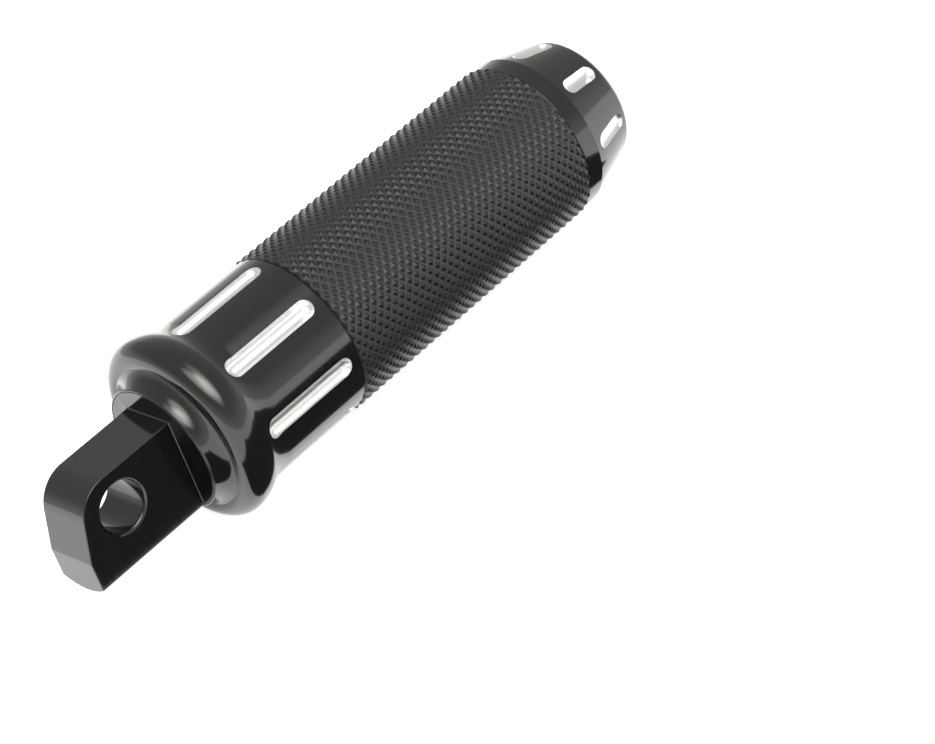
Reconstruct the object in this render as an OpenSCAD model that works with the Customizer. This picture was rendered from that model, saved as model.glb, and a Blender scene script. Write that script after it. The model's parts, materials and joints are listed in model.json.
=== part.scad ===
// Folding foot peg for a motorcycle, male-mount pattern.
// The origin is the centre of the clevis-pin bore, +X runs along the peg to its outer end,
// the clevis pin lies along Y, and +Z is up with the peg folded out for riding.

/* [Grip] */
// Diameter of the grip sleeve over the crests of its knurl
grip_d = 36; // [34:0.5:40]
// Length of the grip sleeve
grip_len = 66.5; // [50:0.5:90]
// Diameter of the core bar that carries the sleeve
core_d = 24; // [22:0.5:25]
// Chamfer on both ends of the sleeve
sleeve_chamfer = 0.3; // [0.3:0.1:0.8]

/* [Mount] */
// Diameter of the bore for the clevis pin
pin_bore_d = 10.2; // [9.8:0.1:10.6]
// Chamfer on both mouths of the pin bore
pin_bore_chamfer = 0.6; // [0.3:0.1:0.8]
// Thickness of the tang between its two flat sides
tang_t = 12; // [11:0.5:13]
// Radius of the rounded corner that lets the peg fold up
tang_round = 7.3; // [6.5:0.1:7.5]
// Distance from the pin axis to the centre of that rounding
tang_round_back = 1.75; // [1.2:0.05:2.2]
// Height of the rounding's centre above the pin axis
tang_round_up = 0.75; // [0.5:0.05:1]
// Lean of the relief facet between the rounding and the stop face
relief_angle = 15; // [13:1:17]
// Distance from the pin axis to the square stop face
stop_reach = 10.9; // [10.6:0.1:11.4]
// Diameter of the round bar that the mount is turned from
bar_d = 25.8; // [25:0.1:26]
// Distance from the pin axis to the front face of the flange
flange_reach = 15.3; // [14.5:0.1:17]
// Thickness of the flange, which sits in the collar's mouth
flange_t = 3; // [2:0.1:3.2]

/* [Collar] */
// Length of the collar, from the flange's face to the grip
collar_len = 36.2; // [35:0.2:42]
// Diameter of the collar and of the cap where they meet the grip
body_d = 35.2; // [34:0.2:36]
// Diameter over the crest of the flare
flare_d = 39.4; // [38.5:0.2:41]
// Distance from the flange's face to the crest of the flare
crest_reach = 7; // [6.9:0.1:7.2]
// Radius on the front of the flare
flare_nose = 3.5; // [3.3:0.1:3.6]
// Radius on the back of the flare's crest
flare_back = 7.8; // [7:0.2:9]
// Radius of the sweep from the flare down to the body
flare_sweep = 10; // [9:0.5:12]
// Radius of the cove between the flange and the flare
cove_r = 3.7; // [3.6:0.1:3.9]
// Width of the collar's lip round the flange
lip_w = 0.4; // [0.3:0.05:0.5]

/* [Slots] */
// Number of slots round the collar and round the cap
slot_count = 8; // [4:1:10]
// Radius of the ball-nosed cutter
cutter_r = 2; // [1.8:0.1:2.2]
// Depth of the collar's slots
collar_slot_depth = 1.5; // [1:0.1:1.8]
// Overall length of the collar's slots
collar_slot_len = 22.6; // [18:0.2:24]
// Distance from the grip to the near end of the collar's slots
collar_slot_gap = 2; // [1.8:0.1:3]
// Depth of the cap's slots
cap_slot_depth = 1; // [0.6:0.1:1.4]
// Overall length of the cap's slots
cap_slot_len = 10.4; // [8:0.2:10.8]
// Distance from the grip to the near end of the cap's slots
cap_slot_gap = 5; // [4.6:0.1:6]

/* [End cap] */
// Length of the cap
cap_len = 17.2; // [17:0.1:18.6]
// Length of the cap's straight band
band_len = 3.9; // [3.4:0.1:4.4]
// Taper of the cap from its axis
cone_angle = 15.9; // [15:0.1:16.5]
// Radius on the cap's outer corner
rim_r = 2.4; // [2:0.1:2.8]
// Diameter over the crest of the rim
rim_crest_d = 24; // [23:0.2:24.6]
// Diameter of the dish's floor
dish_floor_d = 15; // [13:0.5:16]
// Depth of the dish below the rim
dish_depth = 2.4; // [2:0.1:3]

/* [Fasteners] */
// Thread diameter of the core bolt
bolt_d = 10; // [8:1:10]
// Head diameter of the core bolt
bolt_head_d = 16; // [14:0.5:16]
// Head height of the core bolt
bolt_head_h = 10; // [8:1:10]
// Size across flats of the bolt's hexagon socket
bolt_hex = 8; // [6:1:8]
// Thickness of the flat washer
washer_t = 1.6; // [1.2:0.1:2]
// Thickness of the spring washer
spring_washer_t = 2.5; // [2:0.1:2.6]
// Diameter of the cap's threaded boss
boss_d = 20; // [19:0.5:20]
// Diameter of the index dowels
dowel_d = 3; // [2.5:0.5:3]
// Length of the index dowels
dowel_len = 8; // [6:1:8]
// Diameter of the cap's grub screw
grub_d = 4; // [3:0.5:4]
// Cross-section of the O-rings that bed the sleeve
o_ring_t = 1.8; // [1.5:0.1:2]

/* [Hidden] */
$fn = 72;

// Clearances per side, the lead-in chamfer on turned ends, and the overshoot of cutting shapes
slip_gap = 0.05;
dowel_gap = 0.02;
lead_in = 1;
over = 1;

// Stations along the peg, outwards from the clevis pin
collar_start = flange_reach + slip_gap;
grip_start = flange_reach + collar_len;
cap_start = grip_start + grip_len;
cap_end = cap_start + cap_len;

// Mount
bar_r = bar_d / 2;
flange_back = flange_reach + flange_t;
tang_top = tang_round_up + tang_round;
relief_x = -tang_round_back - tang_round * cos(relief_angle);
relief_z = tang_round_up + tang_round * sin(relief_angle);
stop_top_z = relief_z - (stop_reach + relief_x) / tan(relief_angle);
spigot_d = 16;
spigot_end = flange_back + 12;
flange_chamfer = 0.1;
bolt_past_flange = 2.8;
bolt_tip = flange_reach - bolt_past_flange;
tap_runout = 1;

// Collar
body_r = body_d / 2;
crest_r = flare_d / 2;
mouth_r = bar_r + slip_gap;
lip_chamfer = 0.15;
cove_sweep = 64;
nose_undercut = 12;
crest_x = flange_reach + crest_reach;
sweep_angle = acos(1 - (crest_r - body_r) / (flare_back + flare_sweep));
sweep_end_x = crest_x + (flare_back + flare_sweep) * sin(sweep_angle);
core_socket = 4;

// Core bar and its bolt
core_start = grip_start - core_socket;
cap_socket = 7;
core_end = cap_start + cap_socket;
head_setback = 15.5;
head_seat = cap_start - head_setback;
washer_seat = head_seat - washer_t - spring_washer_t;
bolt_hole_d = bolt_d + 0.5;
head_bore_d = 18.6;
washer_d = 18;
spring_washer_d = 16;
boss_len = 4.5;
boss_thread_len = 5;

// Index dowels, all on the underside
front_dowel_z = -10.5;
rear_dowel_z = -8.6;

// End cap
rim_crest_r = rim_crest_d / 2;
rim_x = cap_end - rim_r;
lip_r = 1.6;
lip_x = cap_end - lip_r;
dish_angle = 29;
grub_angle = -67.5;
grub_x = cap_start + 3.4;
grub_len = 5;
grub_hex = grub_d / 2;

// Points [radius, x] along an arc about [centre_x, centre_r], the angle measured from +X
function arc(centre_x, centre_r, r, from, to, steps = 8) = [
    for (i = [0:steps])
        let (a = from + (to - from) * i / steps)
            [centre_r + r * sin(a), centre_x + r * cos(a)]
];

// A solid turned about the peg's axis from points [radius, x]
module turned(points) {
    rotate([0, 90, 0])
        rotate_extrude()
            polygon(points);
}

// A bar along X
module bar(d, from, to) {
    translate([from, 0, 0])
        rotate([0, 90, 0])
            cylinder(d = d, h = to - from);
}

// A hexagonal bar along Z
module hexagon(flats, h) {
    cylinder(d = flats / cos(30), h = h, $fn = 6);
}

// The path of a ball-nosed cutter along X
module ball_slot(len) {
    rotate([0, 90, 0])
        cylinder(r = cutter_r, h = len);
    sphere(r = cutter_r);
    translate([len, 0, 0])
        sphere(r = cutter_r);
}

// Side view of the tang: flat top, rounded corner, relief facet and square stop
module tang_outline() {
    polygon(concat(
        [[flange_back, -bar_r - over], [flange_back, tang_top]],
        [for (p = arc(-tang_round_back, tang_round_up, tang_round, 90, 180 - relief_angle, 14))
            [p[1], p[0]]],
        [[-stop_reach, stop_top_z], [-stop_reach, -bar_r - over]]
    ));
}

// Flat-sided tang, round flange and tapped spigot, machined from one bar
module mount() {
    color("#1c1c1e")
    difference() {
        union() {
            intersection() {
                bar(bar_d, -stop_reach, flange_back);
                translate([0, tang_t / 2, 0])
                    rotate([90, 0, 0])
                        linear_extrude(tang_t)
                            tang_outline();
            }
            turned([
                [0, flange_reach],
                [bar_r - flange_chamfer, flange_reach],
                [bar_r, flange_reach + flange_chamfer],
                [bar_r, flange_back],
                [spigot_d / 2, flange_back],
                [spigot_d / 2, spigot_end - lead_in],
                [spigot_d / 2 - lead_in, spigot_end],
                [0, spigot_end]
            ]);
        }
        rotate([90, 0, 0])
            cylinder(d = pin_bore_d, h = tang_t + 2 * over, center = true);
        for (side = [-1, 1])
            translate([0, side * tang_t / 2, 0])
                rotate([side * 90, 0, 0])
                    translate([0, 0, -over])
                        cylinder(
                            r1 = pin_bore_d / 2 + pin_bore_chamfer + over,
                            r2 = pin_bore_d / 2,
                            h = pin_bore_chamfer + over
                        );
        bar(bolt_d + 2 * slip_gap, bolt_tip - tap_runout, spigot_end + over);
        translate([0, 0, front_dowel_z])
            bar(dowel_d + 2 * dowel_gap, flange_back - dowel_len / 2, flange_back + over);
    }
}

// Flared collar with a mouth for the flange, a cove, eight slots and a socket for the core bar
module collar() {
    socket_r = core_d / 2 + slip_gap;
    spigot_r = spigot_d / 2 + slip_gap;
    bolt_hole_r = bolt_hole_d / 2;
    slot_path = collar_slot_len - 2 * cutter_r;
    color("#1c1c1e")
    difference() {
        turned(concat(
            [[bolt_hole_r, grip_start - core_socket],
             [bolt_hole_r, spigot_end + slip_gap],
             [spigot_r, spigot_end + slip_gap],
             [spigot_r, flange_back],
             [mouth_r, flange_back],
             [mouth_r, collar_start],
             [mouth_r + lip_w - lip_chamfer, collar_start]],
            arc(collar_start + lip_chamfer, mouth_r + lip_w + cove_r, cove_r, -90, cove_sweep - 90),
            arc(crest_x, crest_r - flare_nose, flare_nose, 180 + nose_undercut, 90, 12),
            arc(crest_x, crest_r - flare_back, flare_back, 90, 90 - sweep_angle),
            arc(sweep_end_x, body_r + flare_sweep, flare_sweep, 270 - sweep_angle, 270),
            [[body_r, grip_start],
             [socket_r, grip_start],
             [socket_r, grip_start - core_socket]]
        ));
        for (i = [0:slot_count - 1])
            rotate([i * 360 / slot_count, 0, 0])
                translate([
                    grip_start - collar_slot_gap - collar_slot_len + cutter_r,
                    0,
                    body_r - collar_slot_depth + cutter_r
                ])
                    ball_slot(slot_path);
        translate([0, 0, front_dowel_z])
            bar(dowel_d + 2 * dowel_gap, flange_back - over, flange_back + dowel_len / 2);
        translate([0, 0, rear_dowel_z])
            bar(dowel_d + 2 * dowel_gap, core_start - dowel_len / 2, core_start + over);
    }
}

// Core bar under the sleeve, counterbored for the bolt head and threaded for the cap
module core_bar() {
    color("#b9bcc0")
    difference() {
        bar(core_d, core_start, core_end);
        bar(bolt_hole_d, core_start - over, washer_seat + over);
        bar(head_bore_d, washer_seat, core_end + over);
        bar(boss_d, cap_start - boss_thread_len, core_end + over);
        translate([0, 0, rear_dowel_z])
            bar(dowel_d + 2 * dowel_gap, core_start - over, core_start + dowel_len / 2);
    }
}

// Sleeve at the size of its knurl crests, counterbored at both ends for an O-ring
module grip_sleeve() {
    grip_r = grip_d / 2;
    bore_r = core_d / 2 + slip_gap;
    ring_r = core_d / 2 + o_ring_t + 2 * slip_gap;
    ring_depth = o_ring_t + slip_gap;
    color("#2b2b2d")
    turned([
        [ring_r, grip_start],
        [grip_r - sleeve_chamfer, grip_start],
        [grip_r, grip_start + sleeve_chamfer],
        [grip_r, cap_start - sleeve_chamfer],
        [grip_r - sleeve_chamfer, cap_start],
        [ring_r, cap_start],
        [ring_r, cap_start - ring_depth],
        [bore_r, cap_start - ring_depth],
        [bore_r, grip_start + ring_depth],
        [ring_r, grip_start + ring_depth]
    ]);
}

// Tapered cap with eight slots, a rolled rim and a dished end
module end_cap() {
    socket_r = core_d / 2 + slip_gap;
    boss_r = boss_d / 2 - slip_gap;
    slot_start = cap_start + cap_slot_gap + cutter_r;
    slot_surface_r = body_r - (slot_start - cap_start - band_len) * tan(cone_angle);
    color("#1c1c1e")
    difference() {
        turned(concat(
            [[0, cap_start - boss_len],
             [boss_r - lead_in, cap_start - boss_len],
             [boss_r, cap_start - boss_len + lead_in],
             [boss_r, core_end + slip_gap],
             [socket_r, core_end + slip_gap],
             [socket_r, cap_start],
             [body_r, cap_start],
             [body_r, cap_start + band_len]],
            arc(rim_x, rim_crest_r, rim_r, 90 - cone_angle, 0),
            arc(lip_x, rim_crest_r, lip_r, 0, dish_angle - 90, 4),
            [[dish_floor_d / 2, cap_end - dish_depth],
             [0, cap_end - dish_depth]]
        ));
        for (i = [0:slot_count - 1])
            rotate([i * 360 / slot_count, 0, 0])
                translate([slot_start, 0, slot_surface_r])
                    rotate([0, cone_angle, 0])
                        translate([0, 0, cutter_r - cap_slot_depth])
                            ball_slot(cap_slot_len - 2 * cutter_r);
        translate([grub_x, 0, 0])
            rotate([grub_angle - 90, 0, 0])
                translate([0, 0, boss_r + slip_gap])
                    cylinder(d = grub_d + 2 * slip_gap, h = body_r);
    }
}

// Socket-head bolt that draws the core bar and the collar onto the mount
module core_bolt() {
    color("#3a3a3c")
    difference() {
        turned([
            [0, bolt_tip],
            [bolt_d / 2 - lead_in, bolt_tip],
            [bolt_d / 2, bolt_tip + lead_in],
            [bolt_d / 2, head_seat],
            [bolt_head_d / 2, head_seat],
            [bolt_head_d / 2, head_seat + bolt_head_h - lead_in],
            [bolt_head_d / 2 - lead_in, head_seat + bolt_head_h],
            [0, head_seat + bolt_head_h]
        ]);
        translate([head_seat + bolt_head_h / 2, 0, 0])
            rotate([0, 90, 0])
                hexagon(bolt_hex, bolt_head_h);
    }
}

// Flat washer against the core bar
module flat_washer() {
    color("#8d9095")
    difference() {
        bar(washer_d, washer_seat, washer_seat + washer_t);
        bar(bolt_hole_d, washer_seat - over, washer_seat + washer_t + over);
    }
}

// Split spring washer under the bolt head, pressed flat
module spring_washer() {
    start = washer_seat + washer_t;
    split_w = 1.6;
    split_lean = 20;
    color("#55585c")
    difference() {
        bar(spring_washer_d, start, start + spring_washer_t);
        bar(bolt_d + 2 * slip_gap, start - over, start + spring_washer_t + over);
        translate([start + spring_washer_t / 2, 0, spring_washer_d / 2])
            rotate([0, 0, split_lean])
                cube([2 * spring_washer_t, split_w, spring_washer_d], center = true);
    }
}

// Two O-rings that bed the sleeve on the core bar
module sleeve_o_rings() {
    ring_r = core_d / 2 + slip_gap + o_ring_t / 2;
    color("#111111")
    for (x = [grip_start + o_ring_t / 2, cap_start - o_ring_t / 2])
        translate([x, 0, 0])
            rotate([0, 90, 0])
                rotate_extrude()
                    translate([ring_r, 0])
                        circle(d = o_ring_t);
}

// Two dowels that clock the collar to the mount and the core bar to the collar
module index_dowels() {
    color("#c9ccd0") {
        translate([0, 0, front_dowel_z])
            bar(dowel_d, flange_back - dowel_len / 2, flange_back + dowel_len / 2);
        translate([0, 0, rear_dowel_z])
            bar(dowel_d, core_start - dowel_len / 2, core_start + dowel_len / 2);
    }
}

// Grub screw between two slots on the underside, which keeps the cap from turning
module cap_grub_screw() {
    color("#3a3a3c")
    translate([grub_x, 0, 0])
        rotate([grub_angle - 90, 0, 0])
            translate([0, 0, core_d / 2])
                difference() {
                    union() {
                        cylinder(d1 = grub_d - 2 * lead_in, d2 = grub_d, h = lead_in);
                        translate([0, 0, lead_in])
                            cylinder(d = grub_d, h = grub_len - lead_in);
                    }
                    translate([0, 0, grub_len / 2])
                        hexagon(grub_hex, grub_len);
                }
}

mount();
collar();
core_bar();
grip_sleeve();
end_cap();
core_bolt();
flat_washer();
spring_washer();
sleeve_o_rings();
index_dowels();
cap_grub_screw();
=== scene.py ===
"""The looks of a folding motorcycle foot peg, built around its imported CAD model."""
import json
import math

import bmesh
import bpy
import numpy as np
from mathutils import Euler, Matrix, Vector


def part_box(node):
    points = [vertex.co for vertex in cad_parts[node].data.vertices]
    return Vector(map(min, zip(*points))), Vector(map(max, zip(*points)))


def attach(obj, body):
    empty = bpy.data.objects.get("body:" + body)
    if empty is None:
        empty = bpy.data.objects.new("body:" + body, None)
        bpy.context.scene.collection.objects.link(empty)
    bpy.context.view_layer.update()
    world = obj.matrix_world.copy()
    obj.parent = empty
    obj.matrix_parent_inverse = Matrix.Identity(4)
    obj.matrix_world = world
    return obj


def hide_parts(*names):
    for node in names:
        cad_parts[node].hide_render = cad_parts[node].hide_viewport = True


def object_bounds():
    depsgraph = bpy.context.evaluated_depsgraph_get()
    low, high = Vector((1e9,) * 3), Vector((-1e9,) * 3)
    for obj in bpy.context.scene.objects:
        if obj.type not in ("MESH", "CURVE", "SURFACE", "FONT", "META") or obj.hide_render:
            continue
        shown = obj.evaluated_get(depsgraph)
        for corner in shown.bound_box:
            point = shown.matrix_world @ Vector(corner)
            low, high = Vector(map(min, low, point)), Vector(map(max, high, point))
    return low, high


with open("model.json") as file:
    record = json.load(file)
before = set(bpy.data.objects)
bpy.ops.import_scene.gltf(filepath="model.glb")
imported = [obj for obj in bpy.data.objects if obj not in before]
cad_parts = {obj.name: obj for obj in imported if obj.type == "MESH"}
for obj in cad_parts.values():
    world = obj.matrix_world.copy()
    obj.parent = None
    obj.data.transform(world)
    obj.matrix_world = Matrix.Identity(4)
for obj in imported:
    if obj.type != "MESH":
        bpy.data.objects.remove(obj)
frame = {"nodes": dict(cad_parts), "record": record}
cad_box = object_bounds()

MM = 0.001

# ---------------------------------------------------------------- sizes read from the frame
low, high = 0, 1


def edge(node, side, axis):
    """One coordinate of a CAD node's box, in millimetres."""
    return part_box(node)[side]["xyz".index(axis)] / MM


TANG_END = edge("mount", low, "x")
SPIGOT_END = edge("mount", high, "x")
FLANGE_R = -edge("mount", low, "z")
COLLAR_START = edge("collar", low, "x")
GRIP_START = edge("grip_sleeve", low, "x")
CAP_START = edge("grip_sleeve", high, "x")
BOSS_END = edge("end_cap", low, "x")
CAP_END = edge("end_cap", high, "x")
CREST_R = edge("collar", high, "z")
GRIP_R = edge("grip_sleeve", high, "z")
BODY_R = edge("end_cap", high, "z")
CORE_END = edge("core_bar", high, "x")
CORE_R = edge("core_bar", high, "z")
BOLT_TIP = edge("core_bolt", low, "x")

mounts = {m["name"]: m for m in frame["record"]["mounts"]}
TANG_T = (mounts["tang_side_left"]["pos_m"][1] - mounts["tang_side_right"]["pos_m"][1]) / MM
PIN_R = mounts["pivot_bore"]["dims"]["r_mm"]

# ---------------------------------------------------------------- sizes of the design, in millimetres
SLIP = 0.05
OVER = 1.0
ROUND_STEPS = 192
CUTTER_STEPS = 48
PIN_STEPS = 96
SMALL_HOLE_STEPS = 32
OUTLINE_ROUND = 0.15

# mount
PIN_CHAMFER = 0.6
TANG_ROUND = 7.3
TANG_ROUND_X = -1.75
TANG_ROUND_Z = 0.75
TANG_TOP = TANG_ROUND_Z + TANG_ROUND
RELIEF_ANGLE = 15
FLANGE_FRONT = COLLAR_START - SLIP
FLANGE_BACK = FLANGE_FRONT + 3.0
FLANGE_EDGE = 0.1
SPIGOT_R = 8.0
TAP_R = 5.05
TAP_RUNOUT = 1.0
DOWEL_R = 1.52
DOWEL_HALF = 4.0
FRONT_DOWEL_Z = -10.5
EDGE_BEVEL = 0.22
BEVEL_ANGLE = 12
MOUNT_CREASE = 50
FILLET = 0.25
SIDE_FOOT = -11.2

# collar
LIP_W = 0.4
LIP_CHAMFER = 0.15
COVE_R = 3.7
COVE_SWEEP = 64
CREST_X = FLANGE_FRONT + 7.0
NOSE_R = 3.5
NOSE_UNDERCUT = 12
BACK_R = 7.8
SWEEP_R = 10.0
CORE_SOCKET = 4.0
BOLT_HOLE_R = 5.25

# slots of the collar and the cap
SLOTS = 8
CUTTER_R = 2.0
COLLAR_SLOT_DEPTH = 1.5
COLLAR_SLOT_LEN = 22.6
COLLAR_SLOT_GAP = 2.0
CAP_SLOT_DEPTH = 1.0
CAP_SLOT_LEN = 10.4
CAP_SLOT_GAP = 5.0

# end cap
BAND_LEN = 3.9
CONE_ANGLE = 15.9
RIM_R = 2.4
RIM_CREST_R = 12.0
LIP_R = 1.6
DISH_ANGLE = 29
DISH_FLOOR_R = 7.5
DISH_DEPTH = 2.4
BOSS_R = 9.95
GRUB_X = CAP_START + 3.4
GRUB_ANGLE = -67.5
GRUB_R = 2.05

# grip sleeve
KNURLS_ROUND = 42
KNURL_ROWS = 33
KNURL_DEPTH = 0.30
KNURL_VALLEY = 0.10
KNURL_CREST = 0.45
KNURL_CREASE = 24
SLEEVE_CHAMFER = 0.25
SLEEVE_FACE_R = GRIP_R - 0.8
O_RING_POCKET = 1.85
O_RING_POCKET_R = CORE_R + 1.9

# ---------------------------------------------------------------- light and camera, metres and degrees
FLOOR_SIZE = 6.0
FLOOR_GLOW = 0.8
CARD_LENGTH = 0.146
CARD_WIDTH = 0.099
CARD_X = 0.067
CARD_Y = -0.0655
CARD_LIFT = 0.001

WARM_WHITE = (1, 0.985, 0.955, 1)
CEILING = 0.6
HORIZON = 1.15
CEILING_INNER = 65
CEILING_OUTER = 88
# azimuth and elevation of each soft box, its inner and outer half-width, and its strength
SOFT_BOXES = [
    (-135, 58, 6, 26, 3.2),
    (-105, 52, 6, 26, 3.2),
    (-82, 56, 6, 24, 3.2),
    (-60, 68, 4, 22, 1.4),
]

SENSOR_MM = 36
LENS_MM = 119.5
CAMERA_PLACE = (-0.2171, -0.4257, 0.3077)
CAMERA_TURN = (55.079, 16.946, -46.952)


# ---------------------------------------------------------------- materials
def node_material(name, **shader):
    """A new material and its nodes; shader gives values for the Principled node's own sockets."""
    material = bpy.data.materials.new(name)
    material.use_nodes = True
    tree = material.node_tree
    principled = tree.nodes["Principled BSDF"]
    for socket, value in shader.items():
        principled.inputs[socket.replace("_", " ")].default_value = value
    return material, tree, principled


def add_node(tree, kind, **settings):
    """A new node; settings gives values for its sockets or else its own properties."""
    node = tree.nodes.new(kind)
    for key, value in settings.items():
        if key in node.inputs:
            node.inputs[key].default_value = value
        else:
            setattr(node, key, value)
    return node


def position(tree, scale):
    """Object coordinates times scale, one factor per axis."""
    coordinates = add_node(tree, "ShaderNodeTexCoord")
    mapping = add_node(tree, "ShaderNodeMapping", Scale=scale)
    tree.links.new(coordinates.outputs["Object"], mapping.inputs["Vector"])
    return mapping.outputs["Vector"]


def noise(tree, scale, detail):
    """Noise that varies once in about 1 mm along an axis whose scale is 1000."""
    node = add_node(tree, "ShaderNodeTexNoise", Scale=1.0, Detail=detail)
    tree.links.new(position(tree, scale), node.inputs["Vector"])
    return node.outputs["Fac"]


def spread(tree, value, low_out, high_out, low_in=0.0, high_in=1.0):
    """value mapped from one range onto another."""
    node = add_node(tree, "ShaderNodeMapRange")
    node.inputs["From Min"].default_value = low_in
    node.inputs["From Max"].default_value = high_in
    node.inputs["To Min"].default_value = low_out
    node.inputs["To Max"].default_value = high_out
    tree.links.new(value, node.inputs["Value"])
    return node.outputs["Result"]


def mix_colours(tree, factor, first, second):
    """A colour between first and second, by factor.

    The Mix node has sockets of every kind under the same names, so its colours go by number."""
    node = add_node(tree, "ShaderNodeMix", data_type="RGBA")
    tree.links.new(factor, node.inputs[0])
    node.inputs[6].default_value = (*first, 1)
    node.inputs[7].default_value = (*second, 1)
    return node.outputs[2]


def add_bump(tree, principled, height, distance, strength):
    """Bumps as deep as distance in metres on the Principled node's normal."""
    node = add_node(tree, "ShaderNodeBump", Strength=strength, Distance=distance)
    tree.links.new(height, node.inputs["Height"])
    tree.links.new(node.outputs["Normal"], principled.inputs["Normal"])


def gloss_black():
    """Polished aluminium under gloss black anodising, with faint turning lines and dust."""
    material, tree, principled = node_material(
        "gloss_black_anodised", Metallic=0.0, IOR=1.62, Specular_IOR_Level=0.5
    )
    patches = noise(tree, (90, 90, 90), 4)
    tree.links.new(mix_colours(tree, patches, (0.0026, 0.0026, 0.0029), (0.0046, 0.0046, 0.0050)),
                   principled.inputs["Base Color"])
    lines = noise(tree, (2600, 160, 160), 2)
    tree.links.new(spread(tree, lines, 0.08, 0.14, 0.3, 0.7), principled.inputs["Roughness"])
    add_bump(tree, principled, lines, 0.000002, 0.5)
    return material


def bare_aluminium():
    """Milled aluminium, with fine marks along the cutter's path."""
    material, tree, principled = node_material("bare_aluminium", Metallic=1.0)
    marks = noise(tree, (260, 3200, 3200), 2)
    tree.links.new(mix_colours(tree, marks, (0.72, 0.725, 0.73), (0.84, 0.842, 0.845)),
                   principled.inputs["Base Color"])
    tree.links.new(spread(tree, marks, 0.28, 0.42), principled.inputs["Roughness"])
    add_bump(tree, principled, marks, 0.00001, 0.5)
    return material


def knurled_black():
    """Satin black anodising, with a painted highlight along the knurl's valleys and crests: their
    colour is lighter than the flanks'.
    """
    material, tree, principled = node_material("knurled_black_anodised", Metallic=0.0, IOR=1.42)
    coordinates = add_node(tree, "ShaderNodeTexCoord")
    flatten = add_node(tree, "ShaderNodeVectorMath", operation="MULTIPLY")
    flatten.inputs[1].default_value = (0, 1, 1)
    tree.links.new(coordinates.outputs["Object"], flatten.inputs[0])
    radius = add_node(tree, "ShaderNodeVectorMath", operation="LENGTH")
    tree.links.new(flatten.outputs["Vector"], radius.inputs[0])
    height = spread(tree, radius.outputs["Value"], -1.0, 1.0,
                    (GRIP_R - KNURL_DEPTH) * MM, GRIP_R * MM)
    from_middle = add_node(tree, "ShaderNodeMath", operation="ABSOLUTE")
    tree.links.new(height, from_middle.inputs[0])
    # painted highlight: base colour lighter near the knurl's valleys and crests, darker on its flanks
    painted_highlight_share = spread(tree, from_middle.outputs["Value"], 0.0, 1.0, 0.65, 0.95)
    tree.links.new(mix_colours(tree, painted_highlight_share, (0.0035, 0.0035, 0.0037), (0.022, 0.022, 0.0225)),
                   principled.inputs["Base Color"])
    grain = noise(tree, (1800, 1800, 1800), 3)
    tree.links.new(spread(tree, grain, 0.36, 0.46), principled.inputs["Roughness"])
    add_bump(tree, principled, grain, 0.00002, 0.4)
    return material


def turned_aluminium():
    """Plain turned aluminium for the core bar."""
    material, tree, principled = node_material("turned_aluminium", Metallic=1.0)
    lines = noise(tree, (3000, 120, 120), 2)
    tree.links.new(mix_colours(tree, lines, (0.66, 0.67, 0.68), (0.82, 0.825, 0.83)),
                   principled.inputs["Base Color"])
    tree.links.new(spread(tree, lines, 0.28, 0.45), principled.inputs["Roughness"])
    add_bump(tree, principled, lines, 0.00001, 0.5)
    return material


def plated_steel(name, dark, light, rough, rough_spread=0.08):
    """Steel with a thin finish; dark and light are its colour's two ends."""
    material, tree, principled = node_material(name, Metallic=1.0)
    patches = noise(tree, (700, 700, 700), 4)
    tree.links.new(mix_colours(tree, patches, dark, light), principled.inputs["Base Color"])
    roughness = spread(tree, patches, rough - rough_spread, rough + rough_spread)
    tree.links.new(roughness, principled.inputs["Roughness"])
    add_bump(tree, principled, patches, 0.00001, 0.3)
    return material


def rubber():
    """Black rubber for the O-rings."""
    material, tree, principled = node_material("black_rubber", Metallic=0.0, IOR=1.5)
    grain = noise(tree, (2500, 2500, 2500), 4)
    tree.links.new(mix_colours(tree, grain, (0.012, 0.012, 0.012), (0.03, 0.03, 0.03)),
                   principled.inputs["Base Color"])
    tree.links.new(spread(tree, grain, 0.55, 0.75), principled.inputs["Roughness"])
    add_bump(tree, principled, grain, 0.00003, 0.4)
    return material


# ---------------------------------------------------------------- outlines
def arc(centre_x, centre_r, radius, start, end, steps):
    """Points (x, r) along an arc, its angle in degrees from +X towards +r."""
    angles = np.radians(np.linspace(start, end, steps + 1))
    return [(centre_x + radius * math.cos(a), centre_r + radius * math.sin(a)) for a in angles]


def rounded(points, fillet=OUTLINE_ROUND, closed=True):
    """The outline with each real corner turned into a small curve."""
    least_turn, most_of_side, step_angle = 8, 0.4, 18
    n, made = len(points), []
    for i, p in enumerate(points):
        if not closed and i in (0, n - 1):
            made.append(p)
            continue
        p, a, b = Vector(p), Vector(points[i - 1]), Vector(points[(i + 1) % n])
        back, ahead = a - p, b - p
        turn = math.pi - back.angle(ahead)
        if turn < math.radians(least_turn):
            made.append(tuple(p))
            continue
        room = most_of_side * min(back.length, ahead.length)
        reach = min(fillet * math.tan(turn / 2), room)
        start, end = p + back.normalized() * reach, p + ahead.normalized() * reach
        steps = max(2, math.ceil(math.degrees(turn) / step_angle))
        for k in range(steps + 1):
            t = k / steps
            made.append(tuple((1 - t) ** 2 * start + 2 * t * (1 - t) * p + t * t * end))
    return made


def outline_normals(outline, closed):
    """Unit normals (x, r) at an outline's points, to the left of its direction.

    Each is a mean of the two sides' normals by their lengths, so flats stay flat."""
    points = np.array(outline)
    ahead = np.roll(points, -1, 0) - points
    if not closed:
        ahead[-1] = ahead[-2]
    behind = np.roll(ahead, 1, 0)
    if not closed:
        behind[0] = ahead[0]
    both = ahead + behind
    both /= np.linalg.norm(both, axis=1)[:, None]
    return np.stack([-both[:, 1], both[:, 0]], 1)


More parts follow.
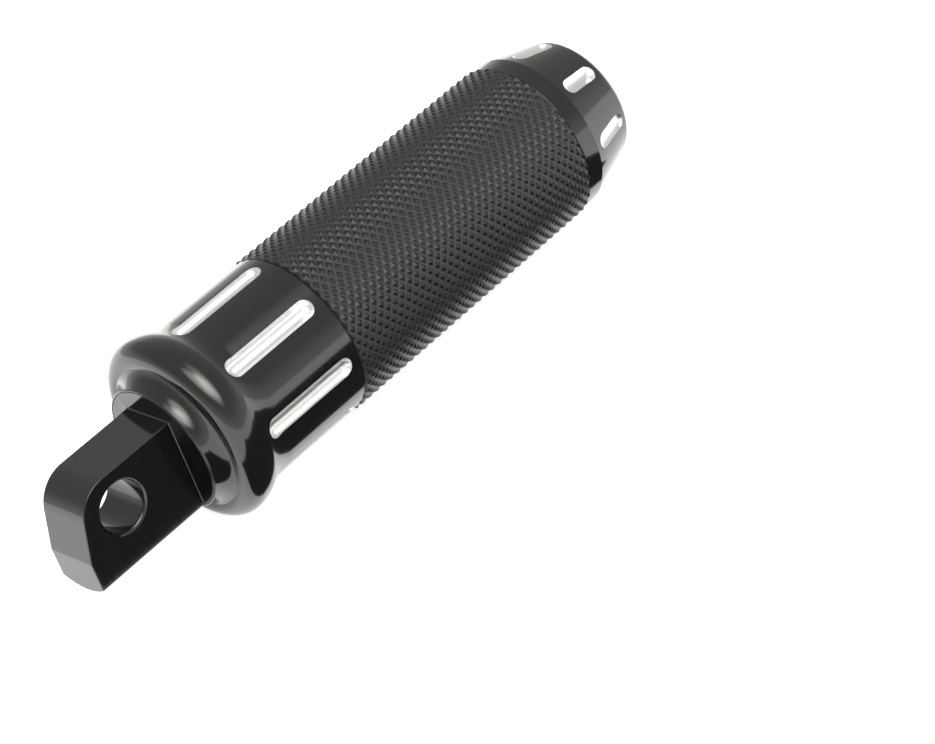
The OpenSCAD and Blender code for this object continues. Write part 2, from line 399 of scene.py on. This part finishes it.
# ---------------------------------------------------------------- meshes
def new_object(name, vertices, faces):
    """A mesh object from vertices in millimetres, its faces made to look outwards."""
    mesh = bpy.data.meshes.new(name)
    mesh.from_pydata([tuple(v) for v in np.asarray(vertices) * MM], [], faces)
    builder = bmesh.new()
    builder.from_mesh(mesh)
    bmesh.ops.recalc_face_normals(builder, faces=builder.faces)
    builder.to_mesh(mesh)
    builder.free()
    thing = bpy.data.objects.new(name, mesh)
    bpy.context.scene.collection.objects.link(thing)
    return thing


def turned(name, outline, closed=True, steps=ROUND_STEPS):
    """A solid turned about X. An open outline starts and ends on the axis."""
    ring_points = outline if closed else outline[1:-1]
    angles = np.arange(steps) * 2 * math.pi / steps
    vertices = [
        (x, r * math.cos(a), r * math.sin(a)) for x, r in ring_points for a in angles
    ]
    count = len(ring_points)
    faces = []
    for i in range(count if closed else count - 1):
        here, there = i * steps, (i + 1) % count * steps
        for k in range(steps):
            m = (k + 1) % steps
            faces.append((here + k, here + m, there + m, there + k))
    if not closed:
        vertices += [(outline[0][0], 0, 0), (outline[-1][0], 0, 0)]
        first, last = len(vertices) - 2, len(vertices) - 1
        end = (count - 1) * steps
        for k in range(steps):
            m = (k + 1) % steps
            faces.append((first, m, k))
            faces.append((last, end + k, end + m))
    return new_object(name, vertices, faces)


def cutter(radius, start, end, ball=False, steps=CUTTER_STEPS):
    """A round cutter along X, with ball or flat ends."""
    length = end - start
    if ball:
        outline = arc(0, 0, radius, 180, 90, 10) + arc(length, 0, radius, 90, 0, 10)
    else:
        outline = [(0, 0), (0, radius), (length, radius), (length, 0)]
    made = turned("cutter", outline, closed=False, steps=steps)
    made.data.transform(Matrix.Translation((start * MM, 0, 0)))
    return made


def cut(thing, tools, operation="DIFFERENCE"):
    """thing after an exact boolean with each tool in turn."""
    for tool in tools:
        modifier = thing.modifiers.new("cut", "BOOLEAN")
        modifier.operation = operation
        modifier.solver = "EXACT"
        modifier.object = tool
        apply_modifiers(thing)
        bpy.data.objects.remove(tool)
    return thing


def prism(name, first_ring, last_ring):
    """A solid between two rings that have the same number of corners."""
    n = len(first_ring)
    ends = [tuple(range(n)), tuple(range(n, 2 * n))]
    sides = [(i, (i + 1) % n, n + (i + 1) % n, n + i) for i in range(n)]
    return new_object(name, first_ring + last_ring, ends + sides)


def apply_modifiers(thing):
    """Makes the modifiers' result the object's own mesh."""
    graph = bpy.context.evaluated_depsgraph_get()
    result = bpy.data.meshes.new_from_object(thing.evaluated_get(graph), depsgraph=graph)
    thing.modifiers.clear()
    old, thing.data = thing.data, result
    bpy.data.meshes.remove(old)


def outline_fit(vertices, outline, closed):
    """Each vertex's distance from the turned surface, and that surface's normal there."""
    points, normals = np.array(outline), outline_normals(outline, closed)
    flat = np.stack([vertices[:, 0], np.hypot(vertices[:, 1], vertices[:, 2])], 1)
    start = points if closed else points[:-1]
    step = np.roll(points, -1, 0)[:len(start)] - start
    share = np.einsum("vsk,sk->vs", flat[:, None] - start[None], step) / (step ** 2).sum(1)
    share = np.clip(share, 0, 1)
    away = np.linalg.norm(start[None] + share[..., None] * step[None] - flat[:, None], axis=2)
    nearest = away.argmin(1)
    rows = np.arange(len(flat))
    share = share[rows, nearest][:, None]
    following = (nearest + 1) % len(points)
    normal = normals[nearest] * (1 - share) + normals[following] * share
    angle = np.arctan2(vertices[:, 2], vertices[:, 1])
    turned_normal = [normal[:, 0], normal[:, 1] * np.cos(angle), normal[:, 1] * np.sin(angle)]
    return away[rows, nearest], np.stack(turned_normal, 1)


def slot_fit(vertices, axes):
    """Each vertex's distance from the nearest slot's axis, and the direction to it."""
    towards = np.zeros_like(vertices)
    closest = np.full(len(vertices), np.inf)
    for a, b in axes:
        a, b = np.array(a), np.array(b)
        along = np.clip((vertices - a) @ (b - a) / ((b - a) @ (b - a)), 0, 1)
        to_axis = a + along[:, None] * (b - a) - vertices
        gap = np.linalg.norm(to_axis, axis=1)
        better = gap < closest
        closest[better] = gap[better]
        towards[better] = to_axis[better] / gap[better, None]
    return closest, towards


def shade_turned(thing, outline, closed, axes):
    """Exact normals on a turned piece, and its second material on the slots.

    axes holds the ends of each slot's axis, in millimetres."""
    tolerance = 0.02
    mesh = thing.data
    vertices = np.empty(len(mesh.vertices) * 3)
    mesh.vertices.foreach_get("co", vertices)
    vertices = vertices.reshape(-1, 3) / MM
    off_outline, turned_normal = outline_fit(vertices, outline, closed)
    from_axis, slot_normal = slot_fit(vertices, axes)
    on_turned = off_outline < tolerance
    in_slot = np.abs(from_axis - CUTTER_R) < tolerance
    loop_normals = []
    for face in mesh.polygons:
        corners = list(face.vertices)
        if in_slot[corners].all():
            chosen, face.material_index = slot_normal, 1
        elif on_turned[corners].all():
            chosen = turned_normal
        else:
            loop_normals += [tuple(face.normal)] * len(corners)
            continue
        sign = -1.0 if np.dot(chosen[corners].mean(0), face.normal) < 0 else 1.0
        loop_normals += [tuple(sign * chosen[c]) for c in corners]
    mesh.shade_smooth()
    mesh.normals_split_custom_set(loop_normals)


def slot_axes(first_x, last_x, first_r, last_r):
    """The axes of the slots' cutters, one every 45 degrees from the top."""
    axes = []
    for i in range(SLOTS):
        a = 2 * math.pi * i / SLOTS
        axes.append([
            (x, r * math.sin(a), r * math.cos(a)) for x, r in ((first_x, first_r), (last_x, last_r))
        ])
    return axes


def slot_cutters(axes):
    """Ball-nosed cutters on those axes, joined into one object."""
    pieces = []
    for a, b in axes:
        a, b = Vector(a), Vector(b)
        tool = cutter(CUTTER_R, 0, (b - a).length, ball=True)
        turn = (b - a).to_track_quat("X", "Z").to_matrix().to_4x4()
        tool.data.transform(Matrix.Translation(a * MM) @ turn)
        pieces.append(tool)
    return join(pieces)


def join(things):
    """The first object, with the meshes of all of them."""
    builder = bmesh.new()
    for thing in things:
        builder.from_mesh(thing.data)
    builder.to_mesh(things[0].data)
    builder.free()
    for thing in things[1:]:
        bpy.data.objects.remove(thing)
    return things[0]


def install(thing, node, slot_name, *materials):
    """Hands a finished piece over in place of a CAD node."""
    thing.data.materials.clear()
    for material in materials:
        thing.data.materials.append(material)
    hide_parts(node)
    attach(thing, "root")


# ---------------------------------------------------------------- mount
def tang_outline():
    """Side view (x, z): flat top, rounded upper corner, relief facet and square stop."""
    corner = arc(TANG_ROUND_X, TANG_ROUND_Z, TANG_ROUND, 90, 180 - RELIEF_ANGLE, 28)
    relief_x, relief_z = corner[-1]
    stop_top = relief_z - (relief_x - TANG_END) / math.tan(math.radians(RELIEF_ANGLE))
    below = -FLANGE_R - OVER
    inner = FLANGE_BACK - OVER
    return [(inner, below), (inner, TANG_TOP)] + corner + [(TANG_END, stop_top), (TANG_END, below)]


def tang():
    """The flat-sided tang, cut from the round bar, with small broken edges."""
    half = TANG_T / 2
    sides = [[(x, y, z) for x, z in tang_outline()] for y in (-half, half)]
    body = prism("foot_peg_mount", *sides)
    bar = cutter(FLANGE_R, TANG_END - OVER, FLANGE_FRONT + OVER, steps=ROUND_STEPS)
    cut(body, [bar], "INTERSECT")
    bevel = body.modifiers.new("broken edges", "BEVEL")
    bevel.limit_method = "ANGLE"
    bevel.angle_limit = math.radians(BEVEL_ANGLE)
    bevel.width = EDGE_BEVEL * MM
    bevel.segments = 3
    apply_modifiers(body)
    return body


def flange_and_spigot():
    """The round flange and the spigot behind it."""
    outline = [
        (FLANGE_FRONT, 0), (FLANGE_FRONT, FLANGE_R - FLANGE_EDGE),
        (FLANGE_FRONT + FLANGE_EDGE, FLANGE_R), (FLANGE_BACK, FLANGE_R),
        (FLANGE_BACK, SPIGOT_R), (SPIGOT_END - OVER, SPIGOT_R),
        (SPIGOT_END, SPIGOT_R - OVER), (SPIGOT_END, 0)
    ]
    return turned("flange", rounded(outline, FLANGE_EDGE, closed=False), closed=False)


def junction_fillet(place, start, end):
    """A small concave fillet where the tang meets the flange.

    place(a, b, t) gives the point a out from the tang, b in front of the flange and t along."""
    root = -FILLET
    section = [(root, root), (FILLET, root)]
    section += arc(FILLET, FILLET, FILLET, 270, 180, 5)
    section.append((root, FILLET))
    return prism("fillet", *[[place(a, b, t) for a, b in section] for t in (start, end)])


def junction_fillets():
    """One fillet down each side of the tang and one across its top."""
    half = TANG_T / 2
    return [
        junction_fillet(lambda a, b, t: (FLANGE_FRONT - b, half + a, t), SIDE_FOOT, TANG_TOP),
        junction_fillet(lambda a, b, t: (FLANGE_FRONT - b, -half - a, t), SIDE_FOOT, TANG_TOP),
        junction_fillet(lambda a, b, t: (FLANGE_FRONT - b, t, TANG_TOP + a), -half, half)
    ]


def pin_cutter():
    """The clevis pin's bore along Y, with a chamfer at each mouth."""
    half = TANG_T / 2
    deep = half + OVER
    mouth_r = PIN_R + PIN_CHAMFER
    outline = [
        (-deep, 0), (-deep, mouth_r + OVER), (-half, mouth_r), (-half + PIN_CHAMFER, PIN_R),
        (half - PIN_CHAMFER, PIN_R), (half, mouth_r), (deep, mouth_r + OVER), (deep, 0)
    ]
    pin = turned("pin", rounded(outline, FILLET, closed=False), closed=False, steps=PIN_STEPS)
    pin.data.transform(Matrix.Rotation(math.pi / 2, 4, "Z"))
    return pin


def mount():
    """Tang, flange and spigot in one piece, bored for the pin, the bolt and a dowel."""
    body = tang()
    cut(body, [flange_and_spigot()] + junction_fillets(), "UNION")
    tap = cutter(TAP_R, BOLT_TIP - TAP_RUNOUT, SPIGOT_END + OVER)
    dowel = cutter(DOWEL_R, FLANGE_BACK - DOWEL_HALF, FLANGE_BACK + OVER, steps=SMALL_HOLE_STEPS)
    dowel.data.transform(Matrix.Translation((0, 0, FRONT_DOWEL_Z * MM)))
    cut(body, [pin_cutter(), tap, dowel])
    body.data.shade_smooth()
    body.data.set_sharp_from_angle(angle=math.radians(MOUNT_CREASE))
    weighted = body.modifiers.new("normals", "WEIGHTED_NORMAL")
    weighted.weight = 100
    weighted.keep_sharp = True
    apply_modifiers(body)
    install(body, "mount", "black_anodised", gloss)


# ---------------------------------------------------------------- collar
def collar():
    """Flared collar: cove, bead and sweep, cut by eight ball-nosed slots."""
    drop = (CREST_R - BODY_R) / (BACK_R + SWEEP_R)
    sweep = math.degrees(math.acos(1 - drop))
    sweep_end = CREST_X + (BACK_R + SWEEP_R) * math.sin(math.radians(sweep))
    spigot, socket, mouth = SPIGOT_R + SLIP, CORE_R + SLIP, FLANGE_R + SLIP
    outline = rounded(
        [(GRIP_START - CORE_SOCKET, BOLT_HOLE_R), (SPIGOT_END + SLIP, BOLT_HOLE_R),
         (SPIGOT_END + SLIP, spigot), (FLANGE_BACK, spigot), (FLANGE_BACK, mouth),
         (COLLAR_START, mouth), (COLLAR_START, mouth + LIP_W - LIP_CHAMFER)]
        + arc(COLLAR_START + LIP_CHAMFER, mouth + LIP_W + COVE_R, COVE_R, -90, COVE_SWEEP - 90, 20)
        + arc(CREST_X, CREST_R - NOSE_R, NOSE_R, 180 + NOSE_UNDERCUT, 90, 28)
        + arc(CREST_X, CREST_R - BACK_R, BACK_R, 90, 90 - sweep, 24)[1:]
        + arc(sweep_end, BODY_R + SWEEP_R, SWEEP_R, 270 - sweep, 270, 24)[1:]
        + [(GRIP_START, BODY_R), (GRIP_START, socket), (GRIP_START - CORE_SOCKET, socket)]
    )
    body = turned("foot_peg_collar", outline)
    body.data.materials.append(gloss)
    path_r = BODY_R - COLLAR_SLOT_DEPTH + CUTTER_R
    last = GRIP_START - COLLAR_SLOT_GAP - CUTTER_R
    first = last - COLLAR_SLOT_LEN + 2 * CUTTER_R
    axes = slot_axes(first, last, path_r, path_r)
    cut(body, [slot_cutters(axes)])
    install(body, "collar", "black_anodised", gloss, bare)
    shade_turned(body, outline, True, axes)


# ---------------------------------------------------------------- end cap
def end_cap():
    """Tapered cap with a rolled rim, a dished end and eight short slots."""
    cone = math.radians(CONE_ANGLE)
    rim_x = CAP_END - RIM_R
    lip_x = CAP_END - LIP_R
    socket = CORE_R + SLIP
    outline = rounded(
        [(BOSS_END, 0), (BOSS_END, BOSS_R - OVER), (BOSS_END + OVER, BOSS_R),
         (CORE_END + SLIP, BOSS_R), (CORE_END + SLIP, socket), (CAP_START, socket),
         (CAP_START, BODY_R), (CAP_START + BAND_LEN, BODY_R)]
        + arc(rim_x, RIM_CREST_R, RIM_R, 90 - CONE_ANGLE, 0, 20)
        + arc(lip_x, RIM_CREST_R, LIP_R, 0, DISH_ANGLE - 90, 12)[1:]
        + [(CAP_END - DISH_DEPTH, DISH_FLOOR_R), (CAP_END - DISH_DEPTH, 0)],
        closed=False
    )
    body = turned("foot_peg_end_cap", outline, closed=False)
    body.data.materials.append(gloss)
    first = CAP_START + CAP_SLOT_GAP + CUTTER_R
    surface = BODY_R - (first - CAP_START - BAND_LEN) * math.tan(cone)
    lift = CUTTER_R - CAP_SLOT_DEPTH
    path = CAP_SLOT_LEN - 2 * CUTTER_R
    first_x, first_r = first + lift * math.sin(cone), surface + lift * math.cos(cone)
    axes = slot_axes(first_x, first_x + path * math.cos(cone),
                     first_r, first_r - path * math.sin(cone))
    grub = cutter(GRUB_R, BOSS_R + SLIP, BODY_R + OVER, steps=SMALL_HOLE_STEPS)
    angle = math.radians(GRUB_ANGLE)
    outward = Vector((0, math.cos(angle), math.sin(angle)))
    turn = Vector((1, 0, 0)).rotation_difference(outward).to_matrix().to_4x4()
    grub.data.transform(Matrix.Translation((GRUB_X * MM, 0, 0)) @ turn)
    cut(body, [slot_cutters(axes), grub])
    install(body, "end_cap", "black_anodised", gloss, bare)
    shade_turned(body, outline, False, axes)


# ---------------------------------------------------------------- knurled sleeve
def knurl_height(s):
    """How far up a pyramid's flank a point is, from 0 in the groove to 1 on the crest."""
    s = np.minimum(s, 1 - s)
    return np.clip((s - KNURL_VALLEY) / (KNURL_CREST - KNURL_VALLEY), 0, 1)


def knurl_cells():
    """The knurl's corners (row, column, height) and its triangles.

    Two families of helical grooves cross, and each cell between them is one pyramid. A cell
    (i, j) lies between grooves i and i + 1 of one family and j and j + 1 of the other."""
    knots = [0, KNURL_VALLEY, KNURL_CREST, 1 - KNURL_CREST, 1 - KNURL_VALLEY, 1]
    spans = len(knots) - 1
    around = 2 * KNURLS_ROUND
    number, corners, triangles = {}, [], []

    def corner(i, j, k, m):
        """The number of the corner at knots k and m of the cell (i, j)."""
        row, column = i + j + knots[k] + knots[m], i - j + knots[k] - knots[m]
        key = (round(row, 4), round(column % around, 4) % around)
        if key not in number:
            number[key] = len(corners)
            corners.append((*key, min(knurl_height(knots[k]), knurl_height(knots[m]))))
        return number[key]

    for difference in range(around):
        for total in range(-1, 2 * KNURL_ROWS):
            if (difference + total) % 2:
                continue
            i, j = (total + difference) // 2, (total - difference) // 2
            for k in range(spans):
                for m in range(spans):
                    square = [(k, m), (k + 1, m), (k + 1, m + 1), (k, m + 1)]
                    along_ridge = k == m != (spans - 1) / 2
                    halves = ((0, 1, 2), (0, 2, 3)) if along_ridge else ((0, 1, 3), (1, 2, 3))
                    for half in halves:
                        cell = [square[t] for t in half]
                        middle = total + sum(knots[a] + knots[b] for a, b in cell) / 3
                        if 0 < middle < 2 * KNURL_ROWS:
                            triangles.append(tuple(corner(i, j, a, b) for a, b in cell))
    return corners, triangles


def knurled_sleeve():
    """Sleeve with a knurled outside, a plain bore and a pocket for an O-ring at each end."""
    corners, faces = knurl_cells()
    rows, columns, height = np.array(corners).T
    radius = GRIP_R - KNURL_DEPTH * (1 - height)
    angle = columns * math.pi / KNURLS_ROUND
    start, end = GRIP_START + SLEEVE_CHAMFER, CAP_START - SLEEVE_CHAMFER
    x = start + rows / (2 * KNURL_ROWS) * (end - start)
    vertices = list(zip(x, radius * np.cos(angle), radius * np.sin(angle)))

    def knurl_edge(row):
        """The knurl's own corners on one row, in order round the sleeve."""
        chosen = [v for v in range(len(rows)) if math.isclose(rows[v], row, abs_tol=1e-3)]
        return sorted(chosen, key=lambda v: columns[v])

    def add_ring(like, at, r):
        """New corners at one x and radius, one for each corner of another ring."""
        first = len(vertices)
        vertices.extend((at, r * math.cos(angle[v]), r * math.sin(angle[v])) for v in like)
        return list(range(first, first + len(like)))

    front, back = knurl_edge(0), knurl_edge(2 * KNURL_ROWS)
    bore = CORE_R + SLIP
    front_pocket, back_pocket = GRIP_START + O_RING_POCKET, CAP_START - O_RING_POCKET
    rings = [front]
    for at, r in [(GRIP_START, SLEEVE_FACE_R), (GRIP_START, O_RING_POCKET_R),
                  (front_pocket, O_RING_POCKET_R), (front_pocket, bore),
                  (back_pocket, bore), (back_pocket, O_RING_POCKET_R),
                  (CAP_START, O_RING_POCKET_R), (CAP_START, SLEEVE_FACE_R)]:
        rings.append(add_ring(front, at, r))
    rings.append(back)
    for here, there in zip(rings, rings[1:]):
        n = len(here)
        faces += [(here[k], here[(k + 1) % n], there[(k + 1) % n], there[k]) for k in range(n)]
    body = new_object("foot_peg_grip_sleeve", vertices, faces)
    body.data.shade_smooth()
    body.data.set_sharp_from_angle(angle=math.radians(KNURL_CREASE))
    install(body, "grip_sleeve", "knurled_black", knurl)


# ---------------------------------------------------------------- stage
def flat_panel(name, width, depth, place, material):
    """A level panel that belongs to the stage."""
    builder = bmesh.new()
    bmesh.ops.create_grid(builder, x_segments=2, y_segments=2, size=0.5)
    mesh = bpy.data.meshes.new(name)
    builder.to_mesh(mesh)
    builder.free()
    panel = bpy.data.objects.new(name, mesh)
    panel.scale = (width, depth, 1)
    panel.location = place
    bpy.context.scene.collection.objects.link(panel)
    mesh.materials.append(material)
    return panel


def floor():
    """A pale floor that glows a little, so that it stays white in the picture."""
    material, tree, principled = node_material(
        "pale_floor", Roughness=0.9, Specular_IOR_Level=0.1, Emission_Color=(1, 1, 1, 1),
        Emission_Strength=FLOOR_GLOW
    )
    grain = noise(tree, (60, 60, 60), 3)
    tree.links.new(mix_colours(tree, grain, (0.9, 0.9, 0.9), (0.93, 0.93, 0.93)),
                   principled.inputs["Base Color"])
    flat_panel("floor", FLOOR_SIZE, FLOOR_SIZE, (0, 0, cad_box[0].z), material)


def black_card():
    """A dark card just above the floor beside the peg; only its reflection shows."""
    material, tree, principled = node_material("black_card", Roughness=0.9)
    grain = noise(tree, (60, 60, 60), 3)
    tree.links.new(mix_colours(tree, grain, (0.01, 0.01, 0.01), (0.02, 0.02, 0.02)),
                   principled.inputs["Base Color"])
    place = (CARD_X, CARD_Y, cad_box[0].z + CARD_LIFT)
    card = flat_panel("black_card", CARD_LENGTH, CARD_WIDTH, place, material)
    card.visible_camera = False
    card.visible_diffuse = False
    card.visible_shadow = False


def glow(tree, direction, azimuth, elevation, inner, outer, strength):
    """A round soft light in the world, its centre and its half-widths in degrees."""
    a, e = math.radians(azimuth), math.radians(elevation)
    aim = add_node(tree, "ShaderNodeVectorMath", operation="DOT_PRODUCT")
    aim.inputs[1].default_value = (math.cos(e) * math.cos(a), math.cos(e) * math.sin(a), math.sin(e))
    tree.links.new(direction, aim.inputs[0])
    shade = spread(tree, aim.outputs["Value"], 0, strength,
                   math.cos(math.radians(outer)), math.cos(math.radians(inner)))
    shade.node.interpolation_type = "SMOOTHSTEP"
    return shade


def studio():
    """Soft light all round: a dim ceiling, a bright horizon and the glows of the soft boxes."""
    world = bpy.data.worlds.new("studio")
    world.use_nodes = True
    tree = world.node_tree
    direction = add_node(tree, "ShaderNodeTexCoord").outputs["Generated"]
    total = glow(tree, direction, 0, 90, CEILING_INNER, CEILING_OUTER, CEILING - HORIZON)
    for light in SOFT_BOXES:
        add = add_node(tree, "ShaderNodeMath", operation="ADD")
        tree.links.new(total, add.inputs[0])
        tree.links.new(glow(tree, direction, *light), add.inputs[1])
        total = add.outputs["Value"]
    raised = add_node(tree, "ShaderNodeMath", operation="ADD")
    raised.inputs[1].default_value = HORIZON
    tree.links.new(total, raised.inputs[0])
    tree.links.new(raised.outputs["Value"], tree.nodes["Background"].inputs["Strength"])
    tree.nodes["Background"].inputs["Color"].default_value = WARM_WHITE
    bpy.context.scene.world = world
    bpy.context.scene.view_settings.view_transform = "Standard"


def camera():
    """The camera looks down on the peg from its clevis end."""
    data = bpy.data.cameras.new("camera")
    data.sensor_width = SENSOR_MM
    data.lens = LENS_MM
    thing = bpy.data.objects.new("camera", data)
    turn = Euler([math.radians(angle) for angle in CAMERA_TURN]).to_matrix().to_4x4()
    thing.matrix_world = Matrix.Translation(CAMERA_PLACE) @ turn
    bpy.context.scene.collection.objects.link(thing)
    bpy.context.scene.camera = thing


# ---------------------------------------------------------------- the peg and its studio
gloss, bare, knurl = gloss_black(), bare_aluminium(), knurled_black()
mount()
collar()
end_cap()
knurled_sleeve()

black_steel = plated_steel("black_oxide_steel", (0.035, 0.035, 0.038), (0.07, 0.07, 0.075), 0.42)
zinc = plated_steel("zinc_plated_steel", (0.52, 0.53, 0.55), (0.66, 0.67, 0.69), 0.34)
inner_finish = {
    "core_bar": turned_aluminium(),
    "core_bolt": black_steel,
    "flat_washer": zinc,
    "spring_washer": black_steel,
    "sleeve_o_rings": rubber(),
    "index_dowels": zinc,
    "cap_grub_screw": black_steel,
}
for node_name, finish in inner_finish.items():
    cad_mesh = frame["nodes"][node_name].data
    cad_mesh.materials.clear()
    cad_mesh.materials.append(finish)

floor()
black_card()
studio()
camera()
